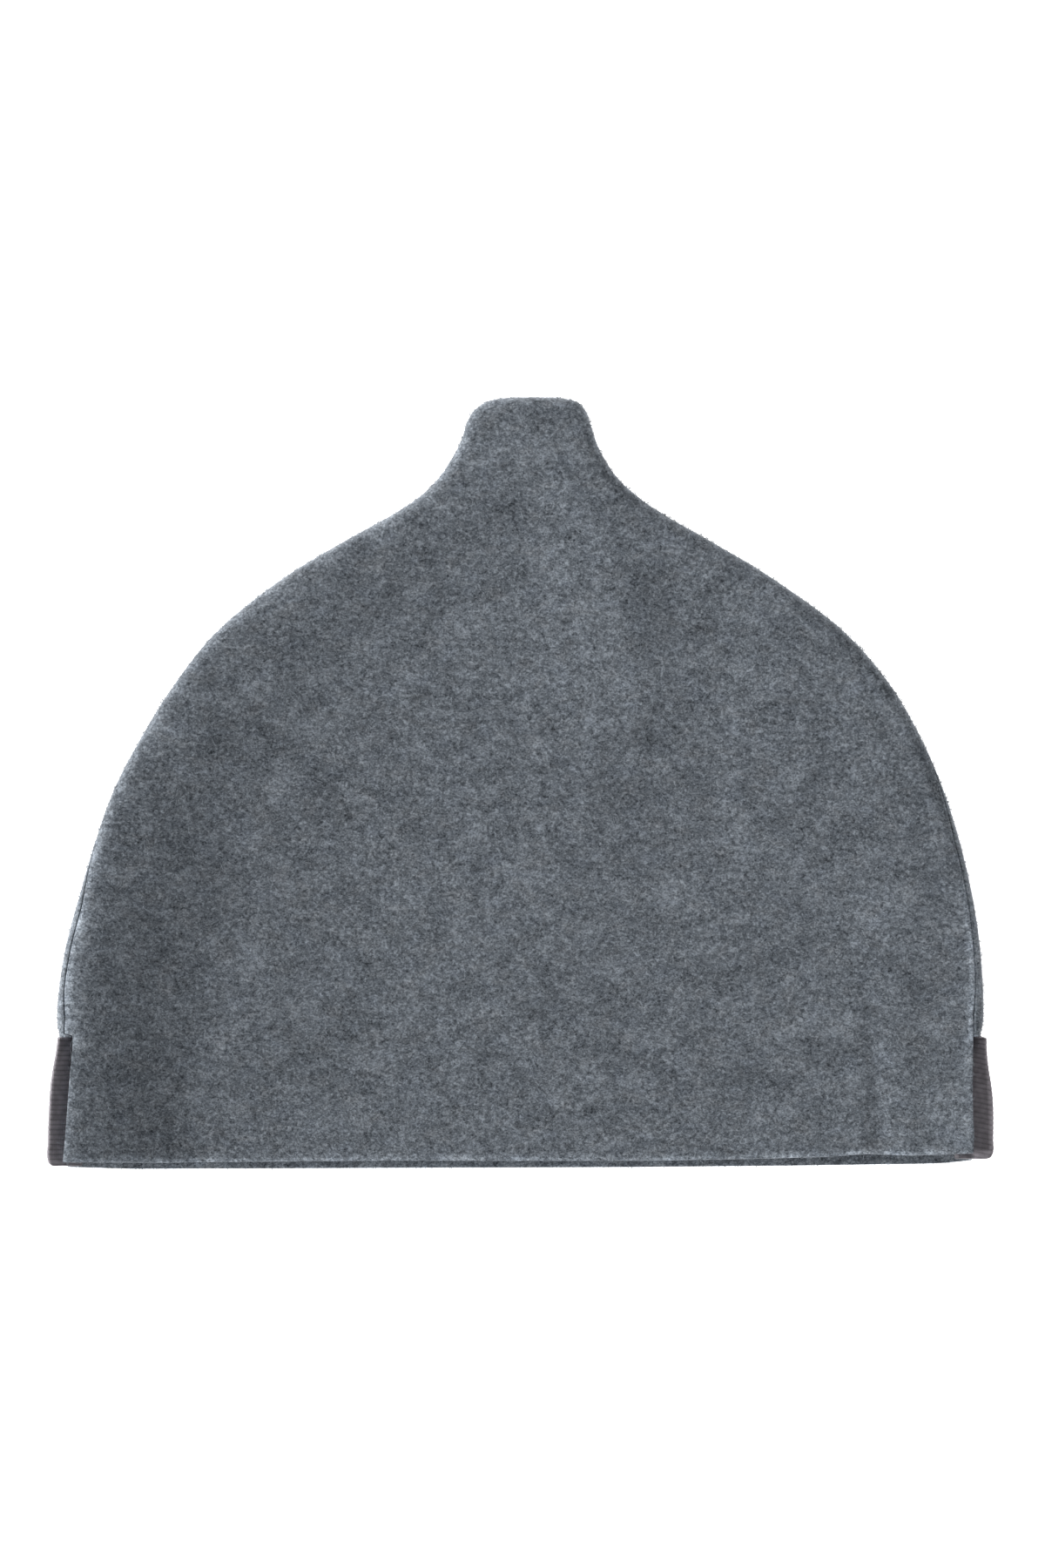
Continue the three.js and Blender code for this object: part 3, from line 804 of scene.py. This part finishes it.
def store(group, geometry, name, value, domain):
    """Stores a number under a name on a geometry's points or instances."""
    values = {"Geometry": geometry, "Name": name, "Value": value}
    return add_node(group, "GeometryNodeStoreNamedAttribute", values, data_type="FLOAT", domain=domain).outputs[0]


def finish_nodes(group, geometry, material, result):
    """Ends a node group: makes its instances real and gives them their material."""
    real = add_node(group, "GeometryNodeRealizeInstances", {"Geometry": geometry}).outputs[0]
    painted = add_node(group, "GeometryNodeSetMaterial", {"Geometry": real, "Material": material})
    group.links.new(painted.outputs[0], result["Geometry"])
    return group


def nap_nodes():
    """Loose wool fibres: bent strands of three shapes strewn over a face, lying nearly flat and turned any way."""
    numbers = dict.fromkeys(("Density", "Length", "Thickness", "Lift"), "Float")
    group, given, result = node_group("Loose fibres", {**numbers, "Seed": "Int", "Material": "Material"})

    def multiply(a, b):
        return add_node(group, "ShaderNodeMath", {0: a, 1: b}, operation="MULTIPLY").outputs[0]

    def chance(low, high, seed, kind="FLOAT"):
        values = {"Min": low, "Max": high, "Seed": seed}
        return output_of(add_node(group, "FunctionNodeRandomValue", values, data_type=kind), "Value")

    where = add_node(group, "GeometryNodeInputNamedAttribute", {"Name": "nap"}, data_type="FLOAT").outputs[0]
    sown = {"Mesh": given["Geometry"], "Density": multiply(given["Density"], where), "Seed": given["Seed"]}
    strewn = add_node(group, "GeometryNodeDistributePointsOnFaces", sown).outputs
    ring = add_node(group, "GeometryNodeCurvePrimitiveCircle", {"Resolution": 3, "Radius": given["Thickness"]})
    length = given["Length"]
    scale = add_node(group, "ShaderNodeCombineXYZ", {0: length, 1: length, 2: length}).outputs[0]
    shapes = add_node(group, "GeometryNodeGeometryToInstance")
    for bend, hook in ((0.34, 0.1), (-0.2, 0.3), (0.55, 0.05)):
        start = {"Start": (0, 0, -0.03), "Start Handle": (0.3, bend, 0.12)}
        end = {"End Handle": (0.75, -bend * 0.6, 0.16), "End": (1.0, bend * 0.4, hook)}
        strand = add_node(group, "GeometryNodeCurvePrimitiveBezierSegment", {"Resolution": 3, **start, **end})
        sized = add_node(group, "GeometryNodeTransform", {"Geometry": strand.outputs[0], "Scale": scale})
        lines = {"Curve": sized.outputs[0], "Profile Curve": ring.outputs[0], "Fill Caps": True}
        solid = add_node(group, "GeometryNodeCurveToMesh", lines)
        group.links.new(solid.outputs[0], shapes.inputs[0])
    turned = chance(0.0, 2 * math.pi, 11)
    raised = multiply(multiply(chance(0.0, 1.0, 12), given["Lift"]), -1.0)
    euler = add_node(group, "ShaderNodeCombineXYZ", {1: raised, 2: turned}).outputs[0]
    local = add_node(group, "FunctionNodeEulerToRotation", {0: euler}).outputs[0]
    turns = {"Rotation": strewn["Rotation"], "Rotate By": local}
    rotation = add_node(group, "FunctionNodeRotateRotation", turns, rotation_space="LOCAL").outputs[0]
    picked = {"Instance": shapes.outputs[0], "Pick Instance": True, "Instance Index": chance(0, 2, 14, "INT")}
    placed = {"Points": strewn["Points"], "Rotation": rotation, "Scale": chance(0.55, 1.25, 13)}
    fibres = add_node(group, "GeometryNodeInstanceOnPoints", {**picked, **placed}).outputs[0]
    toned = store(group, fibres, "tone", chance(0.0, 1.0, 15), "INSTANCE")
    return finish_nodes(group, toned, given["Material"], result)


def rib_nodes():
    """Ribs of the grosgrain: the ribbon's faces rise in round crowns with narrow grooves between them."""
    numbers = dict.fromkeys(("Pitch", "Height", "Lean", "Roundness"), "Float")
    group, given, result = node_group("Grosgrain ribs", {**numbers, "Material": "Material"})

    def math_node(operation, *values):
        return add_node(group, "ShaderNodeMath", dict(enumerate(values)), operation=operation).outputs[0]

    place = add_node(group, "GeometryNodeInputPosition").outputs[0]
    apart = add_node(group, "ShaderNodeSeparateXYZ", {0: place}).outputs
    along = math_node("ADD", apart["Y"], math_node("MULTIPLY", apart["X"], given["Lean"]))
    phase = math_node("MULTIPLY", math_node("DIVIDE", along, given["Pitch"]), math.pi)
    crown = math_node("POWER", math_node("ABSOLUTE", math_node("SINE", phase)), given["Roundness"])
    rise = math_node("MULTIPLY", crown, given["Height"])
    normal = add_node(group, "GeometryNodeInputNormal").outputs[0]
    offset = add_node(group, "ShaderNodeVectorMath", {0: normal, "Scale": rise}, operation="SCALE").outputs[0]
    stored = store(group, given["Geometry"], "crown", crown, "POINT")
    raised = add_node(group, "GeometryNodeSetPosition", {"Geometry": stored, "Offset": offset}).outputs[0]
    return finish_nodes(group, raised, given["Material"], result)


def ribbon_section(side, above, sizes):
    """Middle line of a ribbon at heights above the hem, from the arm under the front panel round the fold."""
    sign = SIGN[side]
    heights, *ends = np.transpose(OUTLINE)
    outline = np.interp(above, heights, ends[SIDES.index(side)])
    fold = RIBBON_FOLD[side]
    outermost = through(fold["above_hem"], fold["across"], above)
    reach = sign * outline - sign * outermost + sizes.thickness / MM / 2
    tucked = smooth((above - SEAM_START + 0.2) / 0.9)
    reach = reach + (TUCKED_FOLD - reach) * tucked
    root = np.interp(above, FRONT_EDGE["above_hem"], FRONT_EDGE[side])
    root = np.maximum(root, reach + TUCKED_ARM * tucked)
    lift = slit_lift(side, above)
    middle = FOLD_HEIGHT + lift / 2
    into = np.linspace(1, 0, ARM_COLUMNS + 1)[:-1]
    line = []
    lower_arm = np.full_like(lift, LOWER_ARM), np.full_like(root, LOWER_ARM_START)
    for height, start in ((UPPER_ARM + lift, root), lower_arm):
        inner = (root + ARM_REACH)[:, None] + (start - root - ARM_REACH)[:, None] * (1 - into)[None, :]
        arm_z = np.broadcast_to(height[:, None], inner.shape)
        out = start[:, None] + (reach - start)[:, None] * FOLD_SHARES
        half = np.abs(height - middle)[:, None] + FOLD_SWELL * FOLD_SHARES
        away = np.sign(height - middle)[:, None]
        out_z = middle[:, None] + away * half * np.sqrt(1 - FOLD_SHARES**FOLD_BLUNTNESS)
        line.append((np.concatenate([inner, out], axis=1), np.concatenate([arm_z, out_z], axis=1)))
    (upper_in, upper_z), (lower_in, lower_z) = line
    inward = np.concatenate([upper_in, reach[:, None], lower_in[:, ::-1]], axis=1)
    z = np.concatenate([upper_z, middle[:, None], lower_z[:, ::-1]], axis=1)
    x = outline[:, None] - sign * inward
    y = np.broadcast_to(above[:, None] - HAT_LENGTH / 2, x.shape)
    return np.stack([x, y, z], axis=-1) * MM


def ribbon_mesh(side, sizes):
    """A ribbon as a closed sheet, folded in two lengthwise, with enough rows for its ribs."""
    bottom, top = RIBBON_FOLD[side]["above_hem"][0], SEAM_START + RIBBON_END
    rows = math.ceil((top - bottom) / (sizes.rib_pitch / MM) * ROWS_PER_RIB)
    above = np.linspace(bottom, top, rows)
    line = ribbon_section(side, above, sizes)
    along = np.gradient(line, axis=1)
    along /= np.linalg.norm(along, axis=-1)[..., None]
    normal = np.stack([-along[..., 2], np.zeros(line.shape[:2]), along[..., 0]], axis=-1)
    half = np.full(line.shape[:2], (sizes.thickness - sizes.rib_height) / 2)
    half[0, :] = half[-1, :] = half[:, 0] = half[:, -1] = 0
    outer = line + normal * half[..., None]
    inner = line - normal * half[..., None]
    # Painted shade on the arms in the slit, and painted light and shade on the part that shows
    pale = np.full(line.shape[:2], ARM_PAINTED_SHADE)
    pale[:, ARM_COLUMNS:-ARM_COLUMNS] = RIBBON_PAINTED_LIGHT[side] * smooth((above[:, None] - bottom) / PAINTED_LIGHT_RISE)
    return mesh_from_faces(f"{side}_ribbon", outer, inner, True, pale)


class HAT_OT_panels(Operator):
    """Builds the front and the back felt panel"""

    bl_idname = "hat.panels"
    bl_label = "Felt panels"

    def execute(self, context):
        sizes = context.scene.hat_felt
        material = felt_material("felt", tuple(sizes.felt_colour))
        for name, front in (("front_felt", True), ("back_felt", False)):
            outer = panel_grid(sizes, front, 1)
            inner = panel_grid(sizes, front, -1)
            # Each panel carries painted light along its edges and painted shade on the stub's rim
            mesh = mesh_from_faces(name, outer, inner, front, paint_edge_light(outer, front))
            mesh.materials.append(material)
            add_piece(mesh, [name.replace("felt", "panel")])
        return {"FINISHED"}


class HAT_OT_nap(Operator):
    """Strews loose wool fibres over the felt and along its edges"""

    bl_idname = "hat.nap"
    bl_label = "Loose fibres"

    def execute(self, context):
        sizes = context.scene.hat_nap
        group = nap_nodes()
        material = bpy.data.materials["felt"]
        for number, (name, (source, at_edges, share, lift)) in enumerate(FIBRE_LAYERS.items()):
            panel = bpy.data.objects[source]
            weights = edge_weight(panel.data) if at_edges else face_weight(panel.data)
            panel.data.attributes.new("nap", "FLOAT", "POINT").data.foreach_set("value", weights)
            density = sizes.edge_density if at_edges else sizes.face_density
            fibre = {"Length": sizes.fibre_length * share, "Thickness": sizes.fibre_thickness, "Lift": lift}
            values = {"Density": density, **fibre, "Seed": sizes.seed + number, "Material": material}
            mesh = run_nodes(panel, group, name, values)
            panel.data.attributes.remove(panel.data.attributes["nap"])
            mesh.shade_smooth()
            add_piece(mesh)
        return {"FINISHED"}


def panel_places(mesh):
    """The points of a panel's mesh and the distance of each in from the hat's outline, in millimetres."""
    points = np.empty(len(mesh.vertices) * 3)
    mesh.vertices.foreach_get("co", points)
    points = points.reshape(-1, 3) / MM
    place = np.linspace(0, len(OUTLINE), 1500)
    edge = np.concatenate([outline_points(side, place) for side in SIDES]) - [0, HAT_LENGTH / 2]
    inset = np.empty(len(points))
    for start in range(0, len(points), 4000):
        part = points[start : start + 4000, None, :2]
        inset[start : start + 4000] = np.sqrt(((part - edge[None]) ** 2).sum(-1)).min(1)
    return points, inset


def face_weight(mesh):
    """1 at the points of a panel's outer face and 0 at those of its inner face."""
    outside = np.empty(len(mesh.vertices))
    mesh.attributes["outside"].data.foreach_get("value", outside)
    return outside


def edge_weight(mesh):
    """1 at the points of a panel along its outline and its hem, clear of the floor, and 0 elsewhere."""
    points, inset = panel_places(mesh)
    near_rim = (inset < FUZZ_REACH) & (face_weight(mesh) > 0.5)
    near_hem = points[:, 1] < -HAT_LENGTH / 2 + FUZZ_HEM
    clear_of_floor = points[:, 2] > FUZZ_CLEARANCE
    return np.where((near_rim | near_hem) & clear_of_floor, 1.0, 0.0)


class HAT_OT_ribbons(Operator):
    """Builds the folded grosgrain ribbon in each side slit"""

    bl_idname = "hat.ribbons"
    bl_label = "Ribbons"

    def execute(self, context):
        sizes = context.scene.hat_ribbon
        group = rib_nodes()
        material = grosgrain_material("grosgrain", tuple(sizes.ribbon_colour))
        for side in SIDES:
            plain = bpy.data.objects.new("plain_ribbon", ribbon_mesh(side, sizes))
            bpy.context.scene.collection.objects.link(plain)
            ribs = {"Pitch": sizes.rib_pitch, "Height": sizes.rib_height, "Lean": RIB_LEAN[side]}
            values = {**ribs, "Roundness": RIB_ROUNDNESS, "Material": material}
            mesh = run_nodes(plain, group, f"{side}_grosgrain", values)
            bpy.data.objects.remove(plain)
            mesh.shade_smooth()
            add_piece(mesh, [f"{side}_ribbon"])
        return {"FINISHED"}


def add_light(name, place, size, power):
    """A soft round light that shines at the middle of the hat and isn't seen itself."""
    data = bpy.data.lights.new(name, "AREA")
    data.shape = "DISK"
    data.size = size
    data.energy = power
    data.color = LIGHT_COLOUR
    light = bpy.data.objects.new(name, data)
    light.location = place
    light.rotation_euler = (-Vector(place)).to_track_quat("-Z", "Y").to_euler()
    light.visible_camera = False
    bpy.context.scene.collection.objects.link(light)


def add_floor():
    """White paper that glows faintly, so that the ground is as white as the photograph's."""
    mesh = bpy.data.meshes.new("floor")
    corners = [(x * FLOOR_REACH, y * FLOOR_REACH, 0) for x, y in ((-1, -1), (1, -1), (1, 1), (-1, 1))]
    mesh.from_pydata(corners, [], [(0, 1, 2, 3)])
    floor = bpy.data.objects.new("floor", mesh)
    bpy.context.scene.collection.objects.link(floor)
    surface = {"Base Color": (0.93, 0.93, 0.93, 1), "Roughness": 1.0, "Specular IOR Level": 0.0}
    glow = {"Emission Color": (1, 1, 1, 1), "Emission Strength": FLOOR_GLOW}
    mesh.materials.append(new_material("paper", {**surface, **glow})[0])


def add_camera():
    """A camera far above the hat that frames it as the photograph does."""
    data = bpy.data.cameras.new("camera")
    data.sensor_width = SENSOR
    data.lens = SENSOR * (CAMERA_HEIGHT - TRUE_SIZE_HEIGHT) / (PICTURE_ROWS * PIXEL)
    data.clip_end = 20
    camera = bpy.data.objects.new("camera", data)
    camera.location = (CAMERA_OFFSET[0] * PIXEL, CAMERA_OFFSET[1] * PIXEL, CAMERA_HEIGHT)
    bpy.context.scene.collection.objects.link(camera)
    bpy.context.scene.camera = camera


class HAT_OT_stage(Operator):
    """Sets up the floor, the lights and the camera"""

    bl_idname = "hat.stage"
    bl_label = "Stage"

    def execute(self, context):
        add_floor()
        world = bpy.data.worlds.new("studio")
        world.use_nodes = True
        background = world.node_tree.nodes["Background"]
        background.inputs["Color"].default_value = (*LIGHT_COLOUR, 1)
        background.inputs["Strength"].default_value = WORLD_STRENGTH
        context.scene.world = world
        for name, numbers in LIGHTS.items():
            add_light(name, *numbers)
        add_camera()
        context.scene.view_settings.view_transform = "Standard"
        return {"FINISHED"}


class HAT_PT_panel(Panel):
    """Lists the steps that build the hat"""

    bl_idname = "HAT_PT_panel"
    bl_label = "Sauna hat"
    bl_space_type = "VIEW_3D"
    bl_region_type = "UI"
    bl_category = "Sauna Hat"

    def draw(self, context):
        for group in ("hat_felt", "hat_nap", "hat_ribbon"):
            settings = getattr(context.scene, group)
            column = self.layout.column(align=True)
            for name in settings.__annotations__:
                column.prop(settings, name)
        for step in STEPS:
            self.layout.operator(step.bl_idname)


STEPS = (HAT_OT_panels, HAT_OT_nap, HAT_OT_ribbons, HAT_OT_stage)
CLASSES = (FeltSizes, NapSizes, RibbonSizes, *STEPS, HAT_PT_panel)


def register():
    for cls in CLASSES:
        bpy.utils.register_class(cls)
    bpy.types.Scene.hat_felt = PointerProperty(type=FeltSizes)
    bpy.types.Scene.hat_nap = PointerProperty(type=NapSizes)
    bpy.types.Scene.hat_ribbon = PointerProperty(type=RibbonSizes)


def unregister():
    del bpy.types.Scene.hat_ribbon
    del bpy.types.Scene.hat_nap
    del bpy.types.Scene.hat_felt
    for cls in reversed(CLASSES):
        bpy.utils.unregister_class(cls)


def main():
    register()
    bpy.ops.hat.panels()
    bpy.ops.hat.nap()
    bpy.ops.hat.ribbons()
    bpy.ops.hat.stage()


if __name__ == "__main__":
    main()
